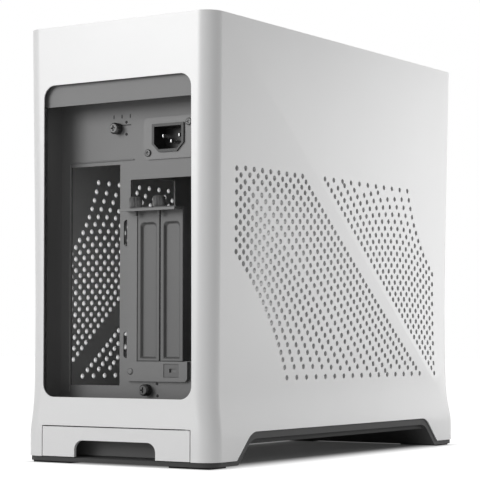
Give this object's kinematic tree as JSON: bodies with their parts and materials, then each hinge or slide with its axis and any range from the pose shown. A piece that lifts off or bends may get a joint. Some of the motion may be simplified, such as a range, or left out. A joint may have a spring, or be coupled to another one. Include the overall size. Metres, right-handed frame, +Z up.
{
  "type": "mini-itx pc case",
  "caption": "Small upright computer case: creased aluminium shell with vented sides, recessed rear frame with card slots and power inlet, arched base and a pull-out filter drawer.",
  "frame": {"origin": "on the table under the middle of the case", "axes": "+Z up, +Y towards the rear face with the connectors, +X across the case"},
  "size_m": [0.165, 0.366, 0.314],
  "materials": {
    "shell_aluminium": "satin anodised",
    "frame_steel": "matt grey paint",
    "base_plastic": "fine texture",
    "foot_rubber": "matt",
    "filter_mesh": "fine nylon mesh",
    "bright_metal": "plated",
    "screw_steel": "dark plated, knurled",
    "jack_plastic": "moulded",
    "circuit_board": "solder mask"
  },
  "bodies": {
    "chassis": {"base_frame": "base_plastic", "foot_pads": "foot_rubber", "floor_plate": "frame_steel", "rear_plate": "frame_steel", "front_plate": "frame_steel", "top_frame": "frame_steel", "spine_plate": "frame_steel", "standoffs": "bright_metal", "psu_bracket": "frame_steel", "slot_frame": "frame_steel", "slot_cover_1": "frame_steel", "slot_cover_2": "frame_steel", "slot_clip": "base_plastic", "inlet_plate": "frame_steel", "power_inlet": "base_plastic", "inlet_pins": "bright_metal", "inlet_screws": "bright_metal", "io_bezel": "base_plastic", "io_board": "circuit_board", "usb_c_port": "bright_metal", "usb_a_ports": "bright_metal", "audio_jack": "jack_plastic"},
    "shell": {"outer_shell": "shell_aluminium", "window_crossbar": "frame_steel"},
    "top_cover": {"top_panel": "shell_aluminium", "top_filter": "filter_mesh"},
    "drawer": {"drawer_front": "shell_aluminium", "drawer_tray": "base_plastic", "drawer_filter": "filter_mesh"},
    "button": {"power_button": "bright_metal"},
    "upper_screw": {"spine_thumbscrew_upper": "screw_steel"},
    "lower_screw": {"spine_thumbscrew_lower": "screw_steel"},
    "slot_screw_1": {"slot_thumbscrew_1": "screw_steel"},
    "slot_screw_2": {"slot_thumbscrew_2": "screw_steel"}
  },
  "joints": [
    {"name": "shell_lift", "type": "slide", "parent": "chassis", "child": "shell", "axis": [0, 0, 1], "range_m": [0, 0.33]},
    {"name": "top_panel_lift", "type": "slide", "parent": "shell", "child": "top_cover", "axis": [0, 0, 1], "range_m": [0, 0.06]},
    {"name": "drawer_slide", "type": "slide", "parent": "chassis", "child": "drawer", "axis": [0, 1, 0], "range_m": [0, 0.29]},
    {"name": "button_press", "type": "slide", "parent": "chassis", "child": "button", "axis": [0, 1, 0], "range_m": [0, 0.0012], "stiffness_N_per_m": 600},
    {"name": "upper_screw_turn", "type": "hinge", "parent": "chassis", "child": "upper_screw", "pos_m": [0.017, 0.157, 0.24], "axis": [0, 1, 0], "continuous": true},
    {"name": "lower_screw_turn", "type": "hinge", "parent": "chassis", "child": "lower_screw", "pos_m": [-0.01, 0.157, 0.0525], "axis": [0, 1, 0], "continuous": true},
    {"name": "slot_screw_1_turn", "type": "hinge", "parent": "chassis", "child": "slot_screw_1", "pos_m": [-0.0034, 0.163, 0.182], "axis": [0, 0, 1], "continuous": true},
    {"name": "slot_screw_2_turn", "type": "hinge", "parent": "chassis", "child": "slot_screw_2", "pos_m": [-0.02372, 0.163, 0.182], "axis": [0, 0, 1], "continuous": true}
  ]
}
